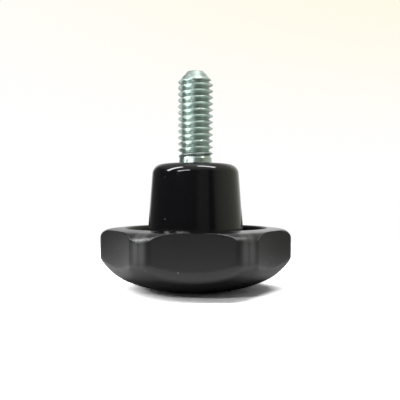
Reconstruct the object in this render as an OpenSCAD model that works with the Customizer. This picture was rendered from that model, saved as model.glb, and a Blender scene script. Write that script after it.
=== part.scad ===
// Star knob with a tall hub and a moulded-in threaded stud.
// The knob stands on its domed head with the stud pointing up. Z = 0 is the flat in the middle of
// the dome, the stud's axis is Z, and one lobe tip lies on +X.

/* [Head] */
// Radius to the lands at the lobe tips
tip_radius = 21.6; // [20:0.1:26]
// Width of the land at each lobe tip
land_width = 1.45; // [0.8:0.05:3]
// Slope of the strips that run from a land down to the side, in degrees
strip_slope = 15; // [11:0.5:20]
// Width of the finger hollow in each side
hollow_width = 16.5; // [13:0.1:17.5]
// How deep the finger hollow is at its middle
hollow_depth = 0.35; // [0.2:0.05:1.2]
// Height of the rim's inner edge above the resting flat
rim_height = 14.15; // [12.5:0.05:18]
// Fall of the rim's top from its inner edge outwards, in degrees
rim_fall = 6; // [0:0.5:8]
// Height of the corner between the dome and the lobe walls
corner_height = 7.3; // [6.8:0.05:8.5]
// Rounding of the rim's outer edge
crown_round = 2.4; // [1:0.1:3]

/* [Band] */
// Height of the lower edge of a side, at its middle
band_height = 5.35; // [5:0.05:6.5]
// Radius of the arch that this edge follows
band_arch = 38; // [25:1:60]
// Angle between a side and the band below it, in degrees
band_angle = 38; // [30:1:45]

/* [Dome] */
// Radius of the flat that the knob rests on
rest_radius = 3.8; // [2:0.1:4.5]
// Radius of the shallow arc next to the flat
dome_arc = 29.5; // [24:0.5:34]
// Slope at which the shallow arc gives way to the tighter one, in degrees
arc_change = 24; // [20:0.2:30]

/* [Recess] */
// Inner radius of the rim at its top edge
rim_inner_radius = 16; // [14.5:0.1:16.5]
// Depth of the recess below the rim's top
recess_depth = 6.8; // [4:0.1:8]
// Rounding at the bottom of the recess
recess_round = 1.5; // [0.5:0.1:2]
// Rounding of the rim's inner edge
rim_inner_round = 0.6; // [0.2:0.1:1]

/* [Hub] */
// Height of the hub's end face above the resting flat
hub_height = 28.4; // [24:0.1:36]
// Radius of the hub where its rounded end begins
hub_end_radius = 9.7; // [9.2:0.1:11]
// Draft of the hub and of the recess wall, in degrees
mould_draft = 4; // [1:0.5:5]
// Rounding of the hub's end
hub_round = 2; // [0.5:0.1:2.5]

/* [Stud] */
// Major diameter of the thread (5/16 inch)
stud_diameter = 7.94; // [6:0.01:9.6]
// Length of the stud above the hub's end face
stud_length = 21; // [12:0.5:60]
// How much thinner the plain shank is than the thread
shank_relief = 0.74; // [0:0.02:1.4]
// Length of plain shank that shows above the hub's end face
shank_length = 1.1; // [0.5:0.1:3]
// How much narrower the stud's end face is than the thread
end_relief = 3.24; // [0.4:0.02:4]
// Height of the chamfer at the stud's end
stud_chamfer = 1.4; // [0.5:0.1:2]
// Size of the moulded-in hexagon head across its flats
hex_across_flats = 12.7; // [10:0.1:13]
// Thickness of the hexagon head
hex_thickness = 5.3; // [4:0.1:6]
// Depth of the shank between the hub's end face and the hexagon head
shank_embedded = 10; // [6:0.1:12]

/* [Fit] */
// Gap between the moulding and the part of the stud that it grips
moulded_gap = 0; // [0:0.01:0.1]

/* [Hidden] */
$fn = 96;
LOBES = 6;
ARC_STEP = 6;
LOBE_ANGLE = 360 / LOBES;
OVERLAP = 1;
// Share of the recess's floor that each of its two fillets may take
FILLET_SHARE = 0.45;

stud_top = hub_height + stud_length;
hex_top = hub_height - shank_embedded;
shank_diameter = stud_diameter - shank_relief;
recess_floor = rim_height - recess_depth;
hub_top_z = hub_height - hub_round * (1 - sin(mould_draft));
hub_floor_radius = hub_end_radius + (hub_top_z - recess_floor) * tan(mould_draft);
rim_floor_radius = rim_inner_radius - recess_depth * tan(mould_draft);
recess_fillet = min(recess_round, FILLET_SHARE * (rim_floor_radius - hub_floor_radius));

// Points along an arc about a centre, from one angle to another, both ends included
function arc(centre, radius, from, to) =
    let (steps = max(1, ceil(abs(to - from) / ARC_STEP)))
    [for (i = [0:steps])
        let (a = from + (to - from) * i / steps)
        centre + radius * [cos(a), sin(a)]];

// A tight arc joins the shallow one to the corner at the tip radius
arc_start = [rest_radius + dome_arc * sin(arc_change), dome_arc * (1 - cos(arc_change))];
corner_end = [tip_radius, corner_height];
chord = corner_end - arc_start;
corner_slope = 2 * atan2(chord[1], chord[0]) - arc_change;
knuckle_arc = chord[0] / (sin(corner_slope) - sin(arc_change));
knuckle_centre = arc_start + knuckle_arc * [-sin(arc_change), cos(arc_change)];

// The rounding of the rim's outer edge is tangent to the wall and to the falling top of the rim
crown_centre_z = rim_height - crown_round * cos(rim_fall)
    - (tip_radius - crown_round * (1 - sin(rim_fall)) - rim_inner_radius) * tan(rim_fall);

// Half section of the whole moulding, before its sides are cut to the lobes
module moulding_section() {
    draft = mould_draft;
    polygon(concat(
        [[0, 0]],
        arc([rest_radius, dome_arc], dome_arc, -90, arc_change - 90),
        arc(knuckle_centre, knuckle_arc, arc_change - 90, corner_slope - 90),
        arc([tip_radius - crown_round, crown_centre_z], crown_round, 0, 90 - rim_fall),
        arc([rim_inner_radius + rim_inner_round,
             rim_height - rim_inner_round * (tan(rim_fall) + 1 / cos(rim_fall))],
            rim_inner_round, 90 - rim_fall, 180 - draft),
        arc([rim_floor_radius - recess_fillet, recess_floor + recess_fillet],
            recess_fillet, -draft, -90),
        arc([hub_floor_radius + recess_fillet, recess_floor + recess_fillet],
            recess_fillet, 270, 180 + draft),
        arc([hub_end_radius - hub_round * cos(draft), hub_height - hub_round],
            hub_round, draft, 90),
        [[0, hub_height]]));
}

// The strips' lines meet over the middle of a side and over each lobe tip. They pass the tip
// radius at the edges of the lands, and the hollow's edges lie on them.
half_lobe = LOBE_ANGLE / 2;
land_edge = half_lobe - asin(land_width / 2 / tip_radius);
side_apex = tip_radius * (cos(land_edge) + sin(land_edge) * tan(strip_slope));
tip_apex = side_apex / (cos(half_lobe) + sin(half_lobe) * tan(strip_slope));
hollow_edge = side_apex - hollow_width / 2 * tan(strip_slope);
hollow_radius = (pow(hollow_width / 2, 2) + pow(hollow_depth, 2)) / (2 * hollow_depth);
side_distance = hollow_edge - hollow_depth;

// Outline of the lobes from above: two strips and a shallow finger hollow on each side
module lobe_outline() {
    difference() {
        intersection() {
            circle(r = tip_radius);
            polygon([for (i = [0:2 * LOBES - 1])
                (i % 2 == 0 ? tip_apex : side_apex) * [cos(i * half_lobe), sin(i * half_lobe)]]);
        }
        for (i = [0:LOBES - 1])
            rotate((i + 0.5) * LOBE_ANGLE)
                translate([side_distance + hollow_radius, 0])
                    circle(r = hollow_radius);
    }
}

// Cone about the normal of one side. Its skin cuts the arched band between side and dome, and it
// widens inwards, so that it holds the rest of the moulding.
module band_cone() {
    reach = side_distance + tip_radius + OVERLAP;
    translate([side_distance - reach, 0, band_height + band_arch])
        rotate([0, 90, 0])
            cylinder(r1 = band_arch + reach / tan(band_angle),
                     r2 = band_arch - OVERLAP / tan(band_angle),
                     h = reach + OVERLAP);
}

// Solid that the moulding grips: plain shank and hexagon head, grown by a gap
module gripped_stud(gap) {
    translate([0, 0, hex_top - OVERLAP])
        cylinder(d = shank_diameter + 2 * gap, h = shank_embedded + OVERLAP);
    translate([0, 0, hex_top - hex_thickness - gap])
        cylinder(r = (hex_across_flats / 2 + gap) / cos(30), h = hex_thickness + 2 * gap, $fn = 6);
}

module knob_body() {
    color([0.07, 0.07, 0.075])
    difference() {
        intersection() {
            rotate_extrude() moulding_section();
            translate([0, 0, -OVERLAP])
                linear_extrude(height = hub_height + 2 * OVERLAP) lobe_outline();
            rotate(0.5 * LOBE_ANGLE) band_cone();
            rotate(1.5 * LOBE_ANGLE) band_cone();
            rotate(2.5 * LOBE_ANGLE) band_cone();
            rotate(3.5 * LOBE_ANGLE) band_cone();
            rotate(4.5 * LOBE_ANGLE) band_cone();
            rotate(5.5 * LOBE_ANGLE) band_cone();
        }
        gripped_stud(moulded_gap);
        translate([0, 0, hub_height - OVERLAP])
            cylinder(d = shank_diameter + 2 * moulded_gap, h = 2 * OVERLAP);
    }
}

module threaded_stud() {
    color([0.66, 0.72, 0.72])
    union() {
        gripped_stud(0);
        translate([0, 0, hub_height - OVERLAP])
            cylinder(d = shank_diameter, h = shank_length + 2 * OVERLAP);
        translate([0, 0, hub_height + shank_length])
            cylinder(d = stud_diameter, h = stud_length - shank_length - stud_chamfer);
        translate([0, 0, stud_top - stud_chamfer])
            cylinder(d1 = stud_diameter, d2 = stud_diameter - end_relief, h = stud_chamfer);
    }
}

knob_body();
threaded_stud();
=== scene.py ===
import math

import bmesh
import bpy
from mathutils import Matrix, Vector


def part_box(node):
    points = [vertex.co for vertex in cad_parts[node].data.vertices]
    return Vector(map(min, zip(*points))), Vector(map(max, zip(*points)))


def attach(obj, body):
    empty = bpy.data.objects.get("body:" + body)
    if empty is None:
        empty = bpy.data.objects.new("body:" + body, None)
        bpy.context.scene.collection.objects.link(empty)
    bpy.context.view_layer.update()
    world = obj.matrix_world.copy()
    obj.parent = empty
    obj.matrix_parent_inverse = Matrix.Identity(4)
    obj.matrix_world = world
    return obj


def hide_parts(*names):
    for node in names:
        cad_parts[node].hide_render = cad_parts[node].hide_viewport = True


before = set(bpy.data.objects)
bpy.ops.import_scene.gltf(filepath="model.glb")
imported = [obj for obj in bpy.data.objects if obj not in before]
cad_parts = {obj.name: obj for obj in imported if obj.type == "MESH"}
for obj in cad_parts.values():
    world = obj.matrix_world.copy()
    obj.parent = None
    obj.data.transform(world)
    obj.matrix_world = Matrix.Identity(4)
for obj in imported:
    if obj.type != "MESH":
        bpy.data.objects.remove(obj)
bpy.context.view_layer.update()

bl_info = {
    "name": "Star knob builder",
    "version": (1, 0, 0),
    "blender": (4, 5, 0),
    "location": "3D View > Sidebar > Star knob",
    "description": "Builds the moulding, the threaded stud and the studio of a star knob",
    "category": "Add Mesh",
}

MM = 0.001
LOBES = 6
LOBE_ANGLE = math.tau / LOBES
WELD = 1e-7
# the stud's head and shank inside the hub, and the pocket that the moulding leaves for them
HEAD_DEPTH = 10 * MM
HEAD_HEIGHT = 5.3 * MM
HEAD_POCKET = 7.34 * MM
SHANK_BORE = 3.6 * MM
# only what lies outside this radius is cut to the head's outline
HUB_CLEARANCE = 12 * MM

BODY_LOW, BODY_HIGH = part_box("knob_body")
STUD_LOW, STUD_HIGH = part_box("threaded_stud")


# ---------------------------------------------------------------- sizes and colours


def length(name, description, default):
    return bpy.props.FloatProperty(
        name=name, description=description, default=default, unit="LENGTH", subtype="DISTANCE"
    )


def angle(name, description, degrees):
    return bpy.props.FloatProperty(
        name=name, description=description, default=math.radians(degrees), subtype="ANGLE"
    )


def colour(name, description, default):
    return bpy.props.StringProperty(name=name, description=description, default=default)


class MouldingSizes(bpy.types.PropertyGroup):
    tip_radius: length("Lobe tip radius", "Radius to the lands at the lobe tips", BODY_HIGH.x)
    rest_radius: length("Resting flat radius", "Radius of the flat the knob rests on", 3.8 * MM)
    dome_arc: length("Dome arc", "Radius of the shallow arc next to the flat", 29.5 * MM)
    dome_slope: angle("Dome slope", "Slope at which the shallow arc ends", 24)
    corner_height: length("Corner height", "Height where the dome meets the lobe walls", 7.3 * MM)
    rim_height: length("Rim height", "Height of the rim's inner edge above the resting flat", 14.15 * MM)
    rim_fall: angle("Rim fall", "Fall of the rim's top from its inner edge outwards", 6)
    crown_round: length("Crown rounding", "Rounding of the rim's outer edge", 2.4 * MM)
    rim_inner_radius: length("Rim inner radius", "Radius of the recess at the rim", 16 * MM)
    recess_depth: length("Recess depth", "Depth of the recess below the rim", 6.8 * MM)
    hub_end_radius: length("Hub end radius", "Radius where the hub's rounded end begins", 9.82 * MM)
    hub_round: length("Hub rounding", "Rounding of the hub's end", 2.3 * MM)
    draft: angle("Draft", "Draft of the hub and of the recess wall", 4)
    hollow_width: length("Hollow width", "Width of the finger hollow in a side", 16.5 * MM)
    hollow_depth: length("Hollow depth", "Depth of the finger hollow", 0.35 * MM)
    land_width: length("Land width", "Width of the land at a lobe tip", 1.45 * MM)
    strip_slope: angle("Strip slope", "Mean slope of the strips beside a land", 15)
    strip_arc: length("Strip arc", "Radius to which the strips are rounded", 7 * MM)
    band_height: length("Band height", "Height of a side's lower edge at its middle", 5.35 * MM)
    band_arch: length("Band arch", "Radius of the arch the lower edge follows", 38 * MM)
    band_angle: angle("Band angle", "Angle between a side and the band below it", 38)
    band_fillet: length("Band fillet", "Softness of the band's two edges", 0.7 * MM)
    side_fillet: length("Side fillet", "Softness of the edge between a side and the dome", 0.35 * MM)
    edge_fillet: length("Edge fillet", "Softness of the rim's sharp outer edge", 0.12 * MM)
    edge_blur: angle("Edge blur", "Softness of the upright edges, as an angle about the axis", 0.6)


class StudSizes(bpy.types.PropertyGroup):
    major_radius: length("Major radius", "Outer radius of the thread", 3.955 * MM)
    root_round: length("Root rounding", "Rounding at the bottom of the thread", 0.22 * MM)
    crest_round: length("Crest rounding", "Rounding of the thread's crest", 0.12 * MM)
    pitch: length("Pitch", "Distance between two crests", 25.4 * MM / 18)
    shank_radius: length("Shank radius", "Radius of the plain shank below the thread", 3.68 * MM)
    collar_radius: length("Collar radius", "Radius to which the shank widens at the hub", 3.82 * MM)
    shank_length: length("Shank length", "Plain shank above the hub's end", 1.1 * MM)
    end_radius: length("End radius", "Radius of the end face", 1.95 * MM)
    chamfer: length("Chamfer", "Height of the chamfer at the end", 2.35 * MM)
    hex_flats: length("Hex across flats", "Size of the moulded-in head", 12.7 * MM)
    hex_height: length("Hex height", "Thickness of the moulded-in head", HEAD_HEIGHT)


class Finishes(bpy.types.PropertyGroup):
    moulding: colour("Moulding colour", "Black phenolic, as a hex colour", "#0E0E11")
    film: colour("Film colour", "Greyer satin skin of the head", "#161616")
    # besides dust and scuffs, this colour is the painted highlight on the rim's outer edge and the painted
    # reflection beside the lands
    dust: colour("Dust colour", "Dust, chips and scuffs on the moulding", "#A8AAA8")
    zinc: colour("Zinc colour", "Bright zinc plate", "#E6F5EE")
    zinc_tint: colour("Zinc tint", "Cooler tint of the passivate", "#D2E6DE")
    zinc_root: colour("Root colour", "Darker plate in the thread's root", "#62786F")


# ---------------------------------------------------------------- mesh helpers


def turn_arc(bm, tip, centre, degrees, steps):
    """Carries the profile on along an arc in the XZ plane and gives its new last point."""
    swept = bmesh.ops.spin(
        bm,
        geom=[tip],
        cent=(centre[0], 0, centre[1]),
        axis=(0, -1, 0),
        angle=math.radians(degrees),
        steps=steps,
    )
    return [g for g in swept["geom_last"] if isinstance(g, bmesh.types.BMVert)][0]


def draw_line(bm, tip, end, steps=1):
    """Carries the profile on along a straight line in the XZ plane."""
    stride = (Vector((end[0], 0, end[1])) - tip.co) / steps
    for _ in range(steps):
        tip = bmesh.ops.extrude_vert_indiv(bm, verts=[tip])["verts"][0]
        tip.co += stride
    return tip


def lathe(bm, steps):
    """Turns the profile about the Z axis into a closed skin."""
    bmesh.ops.spin(
        bm,
        geom=bm.verts[:] + bm.edges[:],
        cent=(0, 0, 0),
        axis=(0, 0, 1),
        angle=math.tau,
        steps=steps,
        use_merge=True,
    )
    bmesh.ops.remove_doubles(bm, verts=bm.verts[:], dist=WELD)


def finish_piece(bm, name, material, nodes, sharp=40):
    """Makes the bmesh an object of its own that rides on the root body."""
    bmesh.ops.recalc_face_normals(bm, faces=bm.faces[:])
    mesh = bpy.data.meshes.new(name)
    bm.to_mesh(mesh)
    bm.free()
    mesh.shade_smooth()
    mesh.set_sharp_from_angle(angle=math.radians(sharp))
    piece = bpy.data.objects.new(name, mesh)
    bpy.context.scene.collection.objects.link(piece)
    mesh.materials.append(material)
    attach(piece, "root")
    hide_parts(*nodes)
    return piece


def smooth_min(a, b, width):
    """The smaller of two lengths, rounded off where they are within a width of each other."""
    overlap = max(width - abs(a - b), 0.0)
    return min(a, b) - overlap * overlap / (4 * width)


def smooth_step(value, low, high):
    t = min(max((value - low) / (high - low), 0.0), 1.0)
    return t * t * (3 - 2 * t)


# ---------------------------------------------------------------- the head's outline


class Sides:
    """Distance from the axis to a side, its strips and the band below, by angle and height."""

    def __init__(self, s):
        half, tip = LOBE_ANGLE / 2, s.tip_radius
        self.tip, self.blur, self.softness = tip, s.edge_blur, s.band_fillet
        self.slope = math.tan(s.strip_slope)
        self.land_edge = half - math.asin(s.land_width / 2 / tip)
        land = Vector((math.sin(self.land_edge), math.cos(self.land_edge))) * tip
        reach = s.hollow_width / 2
        self.apex = land.y + land.x * self.slope
        edge = Vector((reach, self.apex - reach * self.slope))
        self.edge_angle = math.atan2(edge.x, edge.y)
        self.hollow = (reach**2 + s.hollow_depth**2) / (2 * s.hollow_depth)
        self.distance = edge.y - s.hollow_depth
        chord = land - edge
        sag = math.sqrt(s.strip_arc**2 - chord.length_squared / 4)
        centre = (edge + land) / 2 + Vector((chord.y, -chord.x)).normalized() * sag
        self.strip, self.strip_distance = s.strip_arc, centre.length
        self.strip_angle = math.atan2(centre.x, centre.y)
        self.arch, self.arch_z = s.band_arch, s.band_height + s.band_arch
        self.widening = 1 / math.tan(s.band_angle)

    def sharp(self, theta):
        theta = min(abs(theta), LOBE_ANGLE - abs(theta))
        if theta >= self.land_edge:
            # above the land the strip's mean line goes on, clear of the tip radius
            return self.apex / (math.cos(theta) + math.sin(theta) * self.slope)
        if theta <= self.edge_angle:
            c, h = self.distance + self.hollow, self.hollow
            return c * math.cos(theta) - math.sqrt(h * h - (c * math.sin(theta)) ** 2)
        c, phi = self.strip_distance, theta - self.strip_angle
        return c * math.cos(phi) + math.sqrt(self.strip**2 - (c * math.sin(phi)) ** 2)

    def upright(self, theta):
        """Distance to the upright walls, with their edges blurred."""
        step = self.blur / 2
        weights = ((-2, 1), (-1, 2), (0, 2), (1, 2), (2, 1))
        return sum(w * self.sharp(theta + i * step) for i, w in weights) / 8

    def band(self, theta, z):
        """Distance to the cone that cuts the band below the side."""
        sine, cosine, k = math.sin(theta), math.cos(theta), self.widening
        start = self.arch + self.distance * k
        a = sine**2 - (k * cosine) ** 2
        b = 2 * start * k * cosine
        c = (self.arch_z - z) ** 2 - start**2
        return (-b + math.sqrt(b * b - 4 * a * c)) / (2 * a)

    def limit(self, theta, z):
        return smooth_min(self.upright(theta), self.band(theta, z), self.softness)


def column_angles(sides):
    """Angles of the columns over half a side, closer together at the upright edges."""
    edge, land, half = sides.edge_angle, sides.land_edge, LOBE_ANGLE / 2
    near = math.radians(0.7)
    stops = [(0, 9), (edge - 5 * near, 6), (edge - near, 6), (edge + near, 4),
             (land - near, 6), (land + near, 2), (half, 0)]
    angles = []
    for (start, count), (end, _) in zip(stops, stops[1:]):
        angles += [start + (end - start) * i / count for i in range(count)]
    return angles + [half]


def wear_and_painted_glint(gap, across, z, sides):
    """Mask of edge abrasion and painted light: chipping and a painted highlight along the rim's outer edge,
    brightest at its corners as a painted glint, and beside the lands a faint rubbed skin that doubles as a
    painted reflection.
    """
    top = 1 - smooth_step(gap, 0, 0.12 * MM) if z > 10 * MM else 0.0
    corner = 1 - smooth_step(abs(across - sides.edge_angle), 0, math.radians(2.5))
    strip = smooth_step(across, sides.edge_angle + math.radians(0.3), sides.edge_angle + math.radians(2.5))
    land = 1 - smooth_step(abs(across - sides.land_edge), math.radians(0.3), math.radians(3.5))
    upright = smooth_step(z, 6 * MM, 9 * MM) * land
    return max(top * (0.6 + 0.4 * corner) * (1 - strip), 0.34 * upright)


def build_moulding(s, material):
    bm = bmesh.new()
    R, draft = s.tip_radius, s.draft
    hub_top = BODY_HIGH.z
    tip = bm.verts.new((0, 0, 0))
    tip = draw_line(bm, tip, (s.rest_radius, 0), 3)
    tip = turn_arc(bm, tip, (s.rest_radius, s.dome_arc), math.degrees(s.dome_slope), 12)
    # a tighter arc runs from the shallow one to the corner
    slope = s.dome_slope
    corner = Vector((R, s.corner_height))
    chord = corner - Vector((tip.co.x, tip.co.z))
    end_slope = 2 * math.atan2(chord.y, chord.x) - slope
    knuckle = chord.x / (math.sin(end_slope) - math.sin(slope))
    centre = (tip.co.x - knuckle * math.sin(slope), tip.co.z + knuckle * math.cos(slope))
    tip = turn_arc(bm, tip, centre, math.degrees(end_slope - slope), 30)
    # the crown is tangent to the wall and to the falling top of the rim
    inner, soft, crown, fall = s.rim_inner_radius, 0.6 * MM, s.crown_round, s.rim_fall
    crown_z = s.rim_height - crown * math.cos(fall)
    crown_z -= (R - crown * (1 - math.sin(fall)) - inner) * math.tan(fall)
    tip = draw_line(bm, tip, (R, crown_z), 12)
    tip = turn_arc(bm, tip, (R - crown, crown_z), 90 - math.degrees(fall), 24)
    soft_z = s.rim_height - soft * (math.tan(fall) + 1 / math.cos(fall))
    tip = draw_line(bm, tip, (inner + soft * (1 + math.sin(fall)), soft_z + soft * math.cos(fall)), 5)
    tip = turn_arc(bm, tip, (inner + soft, soft_z), 90 + math.degrees(fall - draft), 5)
    floor = s.rim_height - s.recess_depth
    toe = 1.5 * MM
    foot = inner - s.recess_depth * math.tan(draft)
    low = (foot - toe + toe * math.cos(draft), floor + toe - toe * math.sin(draft))
    tip = draw_line(bm, tip, low, 3)
    tip = turn_arc(bm, tip, (foot - toe, floor + toe), -(90 - math.degrees(draft)), 6)
    hub_foot = s.hub_end_radius + (hub_top - s.hub_round - floor) * math.tan(draft)
    tip = draw_line(bm, tip, (hub_foot + toe, floor), 2)
    tip = turn_arc(bm, tip, (hub_foot + toe, floor + toe), -(90 - math.degrees(draft)), 6)
    round_centre = (s.hub_end_radius - s.hub_round * math.cos(draft), hub_top - s.hub_round)
    shoulder = (
        round_centre[0] + s.hub_round * math.cos(draft),
        round_centre[1] + s.hub_round * math.sin(draft),
    )
    tip = draw_line(bm, tip, shoulder, 6)
    tip = turn_arc(bm, tip, round_centre, 90 - math.degrees(draft), 12)
    head_top, head_foot = hub_top - HEAD_DEPTH, hub_top - HEAD_DEPTH - HEAD_HEIGHT
    tip = draw_line(bm, tip, (SHANK_BORE, hub_top), 2)
    tip = draw_line(bm, tip, (SHANK_BORE, head_top), 2)
    tip = draw_line(bm, tip, (HEAD_POCKET, head_top))
    tip = draw_line(bm, tip, (HEAD_POCKET, head_foot))
    draw_line(bm, tip, (0, head_foot))

    sides = Sides(s)
    wear_and_highlight_mask = bm.verts.layers.float.new("edge_wear_and_painted_highlight")
    half = column_angles(sides)
    last = len(half) - 1
    lathe(bm, last * 2 * LOBES)
    even = LOBE_ANGLE / 2 / last
    for v in bm.verts:
        radius = math.hypot(v.co.x, v.co.y)
        if radius < WELD:
            continue
        # the columns move to their own angles, counted from the lobe tip on +X
        lobe, place = divmod(round(math.atan2(v.co.y, v.co.x) / even), 2 * last)
        across = -half[last - place] if place <= last else half[place - last]
        theta = (lobe + 0.5) * LOBE_ANGLE + across
        if radius > HUB_CLEARANCE:
            limit = sides.limit(across, v.co.z)
            low = 1 - smooth_step(v.co.z, s.corner_height, crown_z)
            side = 1 - 0.7 * smooth_step(abs(across), sides.edge_angle, sides.land_edge)
            # this mask holds edge abrasion together with painted highlights and painted reflections
            v[wear_and_highlight_mask] = wear_and_painted_glint(abs(radius - limit), abs(across), v.co.z, sides)
            softness = s.edge_fillet + (s.side_fillet * side - s.edge_fillet) * low
            radius = smooth_min(radius, limit, softness)
        v.co.x, v.co.y = radius * math.cos(theta), radius * math.sin(theta)
    return finish_piece(bm, "knob_moulding", material, ["knob_body"])


# ---------------------------------------------------------------- the stud


def build_stud(s, material):
    hub_top = BODY_HIGH.z
    start = hub_top + s.shank_length
    end = STUD_HIGH.z
    per_turn = 72
    bm = bmesh.new()
    # one pitch of the thread's outline, from the middle of a rounded root to the middle of the next
    p, major = s.pitch, s.major_radius
    flank = (p - math.sqrt(3) * (s.root_round + s.crest_round)) / 2
    root = major - (s.root_round + s.crest_round) / 2 - flank * math.sqrt(3)
    low = start - 1.5 * p
    tip = bm.verts.new((root, 0, low))
    tip = turn_arc(bm, tip, (root + s.root_round, low), -60, 4)
    crest = Vector((major - s.crest_round, low + p / 2))
    rise = math.sqrt(3) / 2
    tip = draw_line(bm, tip, (crest.x + s.crest_round / 2, crest.y - s.crest_round * rise), 4)
    tip = turn_arc(bm, tip, crest, 120, 8)
    tip = draw_line(bm, tip, (root + s.root_round / 2, low + p - s.root_round * rise), 4)
    turn_arc(bm, tip, (root + s.root_round, low + p), -60, 4)
    turns = math.ceil((end - low) / p) + 1
    bmesh.ops.spin(
        bm,
        geom=bm.verts[:] + bm.edges[:],
        cent=(0, 0, 0),
        axis=(0, 0, 1),
        dvec=(0, 0, p / per_turn),
        angle=math.tau * turns,
        steps=per_turn * turns,
    )
    bmesh.ops.remove_doubles(bm, verts=bm.verts[:], dist=1e-6)
    for z, side in ((start - 0.1 * MM, -1), (end, 1)):
        cut = bmesh.ops.bisect_plane(
            bm,
            geom=bm.verts[:] + bm.edges[:] + bm.faces[:],
            dist=WELD,
            plane_co=(0, 0, z),
            plane_no=(0, 0, side),
            clear_outer=True,
        )
        rim = [g for g in cut["geom_cut"] if isinstance(g, bmesh.types.BMEdge)]
        bmesh.ops.contextual_create(bm, geom=rim)
    slope = (major - s.end_radius) / s.chamfer
    groove = bm.verts.layers.float.new("groove")
    for v in bm.verts:
        radius = math.hypot(v.co.x, v.co.y)
        v[groove] = (major - radius) / (major - root)
        limit = s.end_radius + (end - v.co.z) * slope
        fade = smooth_step(v.co.z, start - 0.1 * MM, start + 1.1 * p)
        wanted = s.shank_radius + (radius - s.shank_radius) * fade
        wanted = smooth_min(wanted, limit, 0.12 * MM)
        if radius > 1e-9:
            v.co.x *= wanted / radius
            v.co.y *= wanted / radius
    # the shank above the hub's end, the shank inside the hub, and the head
    for low_radius, height, middle in (
        (s.collar_radius, s.shank_length, start - s.shank_length / 2),
        (s.shank_radius, HEAD_DEPTH, hub_top - HEAD_DEPTH / 2),
    ):
        bmesh.ops.create_cone(
            bm,
            cap_ends=True,
            segments=per_turn,
            radius1=low_radius,
            radius2=s.shank_radius,
            depth=height,
            matrix=Matrix.Translation((0, 0, middle)),
        )
    head = bmesh.ops.create_circle(
        bm,
        cap_ends=True,
        segments=6,
        radius=s.hex_flats / 2 / math.cos(math.pi / 6),
        matrix=Matrix.Translation((0, 0, hub_top - HEAD_DEPTH)),
    )
    end_face = list({f for v in head["verts"] for f in v.link_faces})
    block = bmesh.ops.extrude_face_region(bm, geom=end_face)
    foot = [g for g in block["geom"] if isinstance(g, bmesh.types.BMVert)]
    bmesh.ops.translate(bm, verts=foot, vec=(0, 0, -s.hex_height))
    return finish_piece(bm, "threaded_stud_detail", material, ["threaded_stud"], 50)


# ---------------------------------------------------------------- materials


def linear(hex_colour):
    """An sRGB hex colour as the linear RGBA that a shader takes."""
    parts = [int(hex_colour[i : i + 2], 16) / 255 for i in (1, 3, 5)]
    return [p / 12.92 if p <= 0.04045 else ((p + 0.055) / 1.055) ** 2.4 for p in parts] + [1.0]


def node(tree, kind, inputs=None, **settings):
    """Adds a node, sets it up, and links or fills its inputs."""
    made = tree.nodes.new(kind)
    for key, value in settings.items():
        setattr(made, key, value)
    for key, value in (inputs or {}).items():
        if isinstance(value, bpy.types.NodeSocket):
            tree.links.new(value, made.inputs[key])
        else:
            made.inputs[key].default_value = value
    return made


def new_material(name):
    material = bpy.data.materials.new(name)
    material.use_nodes = True
    material.node_tree.nodes.clear()
    return material, material.node_tree


def blend(tree, share, low, high):
    """A value that goes from low to high with a share."""
    return node(tree, "ShaderNodeMix", {0: share, 2: low, 3: high}).outputs[0]


def ramp(tree, value, low, high):
    """Share of the way that a value has gone from low to high."""
    return node(tree, "ShaderNodeMapRange", {0: value, 1: low, 2: high, 3: 0.0, 4: 1.0}).outputs[0]


def times(tree, a, b):
    return node(tree, "ShaderNodeMath", {0: a, 1: b}, operation="MULTIPLY").outputs[0]


def noise(tree, place, grain, detail=3.0):
    """Noise with grains of a size in metres."""
    inputs = {"Vector": place, "Scale": 1 / grain, "Detail": detail}
    return node(tree, "ShaderNodeTexNoise", inputs).outputs[0]


def specks(tree, place, spacing, size, share):
    """Round specks of a size, about a spacing apart; only a share of the places has one."""
    cells = node(tree, "ShaderNodeTexVoronoi", {"Vector": place, "Scale": 1 / spacing})
    draw = node(tree, "ShaderNodeSeparateColor", {0: cells.outputs["Color"]}).outputs[0]
    chosen = node(tree, "ShaderNodeMath", {0: draw, 1: share}, operation="LESS_THAN").outputs[0]
    edge = size / spacing / 2
    return times(tree, ramp(tree, cells.outputs["Distance"], edge, edge / 2), chosen)


def colours(tree, share, low, high):
    """A colour that goes from low to high with a share."""
    return node(tree, "ShaderNodeMix", {0: share, 6: low, 7: high}, data_type="RGBA").outputs[2]


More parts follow.
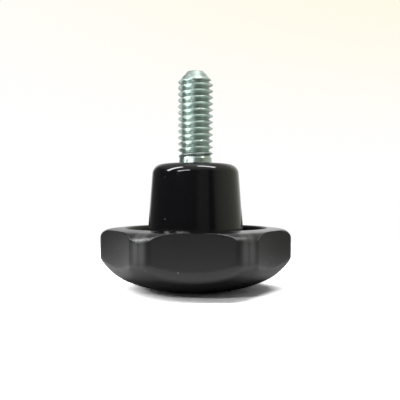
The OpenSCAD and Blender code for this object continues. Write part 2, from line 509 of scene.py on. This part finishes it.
def phenolic_material(f):
    """Compression-moulded phenolic: the mould's polish on the hub, tumbled satin on the head"""
    material, tree = new_material("black_phenolic_moulding")
    place = node(tree, "ShaderNodeTexCoord").outputs["Object"]
    height = node(tree, "ShaderNodeSeparateXYZ", {0: place}).outputs["Z"]
    on_hub = ramp(tree, height, 13.6 * MM, 14.4 * MM)
    on_head = ramp(tree, on_hub, 1.0, 0.0)
    satin = noise(tree, place, 0.35 * MM)
    cloud = noise(tree, place, 4 * MM)
    # dust lies in specks wider than life, since a real one is narrower than a pixel
    dust = specks(tree, place, 1.6 * MM, 0.34 * MM, 0.16)
    wear_and_highlight_mask = node(tree, "ShaderNodeAttribute", attribute_name="edge_wear_and_painted_highlight").outputs["Fac"]
    # the sharp edges show chipping and a painted highlight; the lands are only rubbed, with a painted
    # reflection beside them
    chips = ramp(tree, noise(tree, place, 0.4 * MM), 0.25, 0.65)
    broken = blend(tree, ramp(tree, wear_and_highlight_mask, 0.34, 0.5), 0.8, chips)
    chipping_and_highlight = times(tree, wear_and_highlight_mask, broken)
    head_rough = blend(tree, satin, 0.24, 0.38)
    hub_rough = blend(tree, cloud, 0.07, 0.13)
    rough = blend(tree, on_hub, head_rough, hub_rough)
    film = colours(tree, times(tree, cloud, on_head), linear(f.moulding), linear(f.film))
    # the dust colour paints scuffs and chipping, and with them the painted highlight on the edges and the
    # painted reflection beside the lands
    scuffs_and_highlight = colours(tree, times(tree, chipping_and_highlight, 0.6), film, linear(f.dust))
    skin_with_dust_and_highlight = colours(tree, times(tree, dust, 0.55), scuffs_and_highlight, linear(f.dust))
    grain = node(tree, "ShaderNodeBump", {
        "Strength": 0.25, "Distance": 0.02 * MM, "Height": times(tree, satin, on_head)})
    shader = node(tree, "ShaderNodeBsdfPrincipled", {
        "Base Color": skin_with_dust_and_highlight, "Roughness": rough, "IOR": 1.62, "Normal": grain.outputs[0]})
    node(tree, "ShaderNodeOutputMaterial", {"Surface": shader.outputs[0]})
    return material


def zinc_material(f):
    """Electroplated bright zinc under a blue passivate, darker down in the thread"""
    material, tree = new_material("bright_zinc_plate")
    place = node(tree, "ShaderNodeTexCoord").outputs["Object"]
    groove = node(tree, "ShaderNodeAttribute", attribute_name="groove").outputs["Fac"]
    cloud = noise(tree, place, 1.8 * MM)
    rolled = node(tree, "ShaderNodeMapping", {0: place, 3: (1.0, 1.0, 6.0)}).outputs[0]
    streaks = noise(tree, rolled, 1.2 * MM)
    tint = colours(tree, ramp(tree, cloud, 0.35, 0.65), linear(f.zinc), linear(f.zinc_tint))
    plate = colours(tree, times(tree, groove, 0.3), tint, linear(f.zinc_root))
    rough = blend(tree, streaks, 0.24, 0.36)
    shader = node(tree, "ShaderNodeBsdfPrincipled", {
        "Base Color": plate, "Metallic": 1.0, "Roughness": rough})
    node(tree, "ShaderNodeOutputMaterial", {"Surface": shader.outputs[0]})
    return material


# ---------------------------------------------------------------- studio

CAMERA_DISTANCE = 127 * MM
CAMERA_HEIGHT = 20.3 * MM
CAMERA_AZIMUTH = math.radians(1.2)
AIM_YAW = math.radians(0.45)
FOCAL_PIXELS = 557.6
FRAME_PIXELS = 400
SENSOR = 36.0
WHITE = (1, 1, 1, 1)
LAMP_DISTANCE = 500 * MM


def build_camera():
    data = bpy.data.cameras.new("camera")
    data.sensor_width = SENSOR
    data.lens = FOCAL_PIXELS / FRAME_PIXELS * SENSOR
    data.clip_start = 0.01
    camera = bpy.data.objects.new("camera", data)
    camera.location = (
        CAMERA_DISTANCE * math.sin(CAMERA_AZIMUTH),
        -CAMERA_DISTANCE * math.cos(CAMERA_AZIMUTH),
        CAMERA_HEIGHT,
    )
    camera.rotation_euler = (math.pi / 2, 0, CAMERA_AZIMUTH - AIM_YAW)
    bpy.context.scene.collection.objects.link(camera)
    bpy.context.scene.camera = camera


def grey_level(value):
    return (value, value, value, 1)


def ramp_by_azimuth(tree, x, y, stops):
    """A grey ramp over the azimuth of a place or direction, in degrees from the camera's side."""
    azimuth = node(tree, "ShaderNodeMath", {0: x, 1: times(tree, y, -1.0)}, operation="ARCTAN2")
    grey = node(tree, "ShaderNodeValToRGB", {0: ramp(tree, azimuth.outputs[0], -math.pi, math.pi)})
    elements = grey.color_ramp.elements
    elements.remove(elements[-1])
    for i, (degrees, value) in enumerate(stops):
        stop = elements[0] if i == 0 else elements.new((degrees + 180) / 360)
        stop.position = (degrees + 180) / 360
        stop.color = grey_level(value)
    return grey.outputs[0]




# how pale the floor and the room are by azimuth, as the polished parts mirror them
FLOOR_STOPS = [
    (-180, 1.0), (-150, 1.0), (-127, 0.95), (-122, 0.42), (-116, 0.22), (-111, 0.24), (-105, 0.75),
    (-90, 1.0), (-52, 1.0), (-40, 0.3), (-30, 0.05), (-16, 0.1), (-5, 0.62), (4, 0.62), (14, 0.1),
    (24, 0.08), (36, 0.6), (54, 0.9), (90, 0.6), (106, 0.22), (116, 0.15), (122, 0.22), (127, 0.5),
    (150, 1.0), (180, 1.0),
]
ROOM_STOPS = [
    (-180, 0.7), (-166, 0.65), (-152, 0.6), (-145, 0.14), (-124, 0.08), (-100, 0.05), (0, 0.05),
    (12, 0.13), (31, 0.13), (37, 0.03), (46, 0.05), (53, 0.2), (60, 0.27), (75, 0.35), (96, 0.39),
    (114, 0.44), (130, 0.53), (143, 0.69), (154, 0.9), (180, 1.0),
]


def build_floor():
    bm = bmesh.new()
    bmesh.ops.create_circle(bm, cap_ends=True, segments=96, radius=3.0)
    mesh = bpy.data.meshes.new("studio_floor")
    bm.to_mesh(mesh)
    bm.free()
    floor = bpy.data.objects.new("studio_floor", mesh)
    bpy.context.scene.collection.objects.link(floor)
    material, tree = new_material("white_paper_sweep")
    path = node(tree, "ShaderNodeLightPath")
    place = node(tree, "ShaderNodeTexCoord").outputs["Object"]
    xyz = node(tree, "ShaderNodeSeparateXYZ", {0: place})
    around = ramp_by_azimuth(tree, xyz.outputs["X"], xyz.outputs["Y"], FLOOR_STOPS)
    distance = node(tree, "ShaderNodeVectorMath", {0: place}, operation="LENGTH").outputs["Value"]
    # the polished parts mirror pale paper near the knob and a darker floor far off; under the knob the
    # mirrored paper carries a painted shadow
    paper = colours(tree, ramp(tree, distance, 45 * MM, 85 * MM), WHITE, around)
    paper = colours(tree, ramp(tree, distance, 100 * MM, 230 * MM), paper, grey_level(0.1))
    # painted shadow: within about 20 mm of the axis the paper that glossy rays see goes dark
    paper = colours(tree, ramp(tree, distance, 16.5 * MM, 20 * MM), grey_level(0.15), paper)
    mirrored = colours(tree, path.outputs["Is Glossy Ray"], grey_level(0.85), paper)
    white = colours(tree, path.outputs["Is Camera Ray"], mirrored, grey_level(3))
    diffuse = node(tree, "ShaderNodeBsdfDiffuse", {"Color": white})
    # far from the knob the camera sees plain white
    plain = node(tree, "ShaderNodeEmission", {"Color": WHITE, "Strength": 1.0})
    far = times(tree, path.outputs["Is Camera Ray"], ramp(tree, distance, 70 * MM, 150 * MM))
    shader = node(tree, "ShaderNodeMixShader", {0: far, 1: diffuse.outputs[0], 2: plain.outputs[0]})
    node(tree, "ShaderNodeOutputMaterial", {"Surface": shader.outputs[0]})
    mesh.materials.append(material)


def build_world():
    world = bpy.data.worlds.new("studio_world")
    bpy.context.scene.world = world
    world.use_nodes = True
    tree = world.node_tree
    tree.nodes.clear()
    place = node(tree, "ShaderNodeTexCoord").outputs["Generated"]
    xyz = node(tree, "ShaderNodeSeparateXYZ", {0: place})
    around = ramp_by_azimuth(tree, xyz.outputs["X"], xyz.outputs["Y"], ROOM_STOPS)
    path = node(tree, "ShaderNodeLightPath")
    across, up = xyz.outputs["X"], xyz.outputs["Z"]
    room = colours(tree, ramp(tree, up, 0.45, 0.8), around, grey_level(0.5))
    room = colours(tree, ramp(tree, up, 0.93, 0.98), room, WHITE)
    # the room is warmer on the right, and its backdrop up high too
    right = colours(tree, ramp(tree, across, 0.2, 0.8), WHITE, (1.0, 0.99, 0.82, 1))
    room = node(tree, "ShaderNodeMix", {0: 1.0, 6: room, 7: right}, data_type="RGBA", blend_type="MULTIPLY")
    level = colours(tree, path.outputs["Is Glossy Ray"], grey_level(0.15), room.outputs[2])
    aside = node(tree, "ShaderNodeMath", {0: across, 1: up, 2: up}, operation="MULTIPLY_ADD").outputs[0]
    backdrop = colours(tree, ramp(tree, aside, 0.1, 0.42), WHITE, (1.0, 0.96, 0.81, 1))
    seen = colours(tree, path.outputs["Is Camera Ray"], level, backdrop)
    background = node(tree, "ShaderNodeBackground", {"Color": seen, "Strength": 1.0})
    node(tree, "ShaderNodeOutputWorld", {"Surface": background.outputs[0]})


def direction(azimuth, elevation):
    """Unit vector at an azimuth from the camera's side and an elevation, in degrees."""
    a, e = math.radians(azimuth), math.radians(elevation)
    return Vector((math.sin(a) * math.cos(e), -math.cos(a) * math.cos(e), math.sin(e)))


def build_lamps():
    """Long ceiling lamps, each between two directions seen from the hub's end."""
    aim = Vector((0, 0, BODY_HIGH.z))
    for name, start, end, width, power in (
        ("ceiling_lamp_left", (-79, 20), (-54, 60), 0.075, 1.3),
        ("ceiling_lamp_front", (-47, 18), (-15, 29), 0.05, 0.42),
        ("ceiling_lamp_right", (14, 76), (74, 51), 0.09, 1.05),
    ):
        a, b = direction(*start) * LAMP_DISTANCE, direction(*end) * LAMP_DISTANCE
        data = bpy.data.lights.new(name, "AREA")
        data.shape = "RECTANGLE"
        data.size, data.size_y = (b - a).length, width
        data.energy = power
        lamp = bpy.data.objects.new(name, data)
        facing = ((a + b) / 2).normalized()
        along = ((b - a) - facing * (b - a).dot(facing)).normalized()
        turn = Matrix((along, facing.cross(along), facing)).transposed()
        lamp.matrix_world = Matrix.Translation(aim + (a + b) / 2) @ turn.to_4x4()
        bpy.context.scene.collection.objects.link(lamp)


# ---------------------------------------------------------------- operators and panel


class KNOB_OT_moulding(bpy.types.Operator):
    """Builds the black moulding: head, rim, recess and hub"""

    bl_idname = "star_knob.moulding"
    bl_label = "Build moulding"

    def execute(self, context):
        scene = context.scene
        build_moulding(scene.star_knob_moulding, phenolic_material(scene.star_knob_finishes))
        return {"FINISHED"}


class KNOB_OT_stud(bpy.types.Operator):
    """Builds the zinc-plated stud with its thread"""

    bl_idname = "star_knob.stud"
    bl_label = "Build stud"

    def execute(self, context):
        scene = context.scene
        build_stud(scene.star_knob_stud, zinc_material(scene.star_knob_finishes))
        return {"FINISHED"}


class KNOB_OT_studio(bpy.types.Operator):
    """Builds the camera, the paper sweep, the lamps and the world"""

    bl_idname = "star_knob.studio"
    bl_label = "Build studio"

    def execute(self, context):
        build_camera()
        build_floor()
        build_world()
        build_lamps()
        context.scene.view_settings.view_transform = "Standard"
        return {"FINISHED"}


class KNOB_PT_panel(bpy.types.Panel):
    bl_label = "Star knob"
    bl_idname = "KNOB_PT_panel"
    bl_space_type = "VIEW_3D"
    bl_region_type = "UI"
    bl_category = "Star knob"

    def draw(self, context):
        for operator in OPERATORS:
            self.layout.operator(operator.bl_idname)


OPERATORS = (KNOB_OT_moulding, KNOB_OT_stud, KNOB_OT_studio)
GROUPS = {
    "star_knob_moulding": MouldingSizes,
    "star_knob_stud": StudSizes,
    "star_knob_finishes": Finishes,
}


def register():
    for cls in (*GROUPS.values(), *OPERATORS, KNOB_PT_panel):
        bpy.utils.register_class(cls)
    for name, group in GROUPS.items():
        setattr(bpy.types.Scene, name, bpy.props.PointerProperty(type=group))


def unregister():
    for name in GROUPS:
        delattr(bpy.types.Scene, name)
    for cls in (KNOB_PT_panel, *OPERATORS, *GROUPS.values()):
        bpy.utils.unregister_class(cls)


def main():
    register()
    bpy.ops.star_knob.moulding()
    bpy.ops.star_knob.stud()
    bpy.ops.star_knob.studio()


if __name__ == "__main__":
    main()
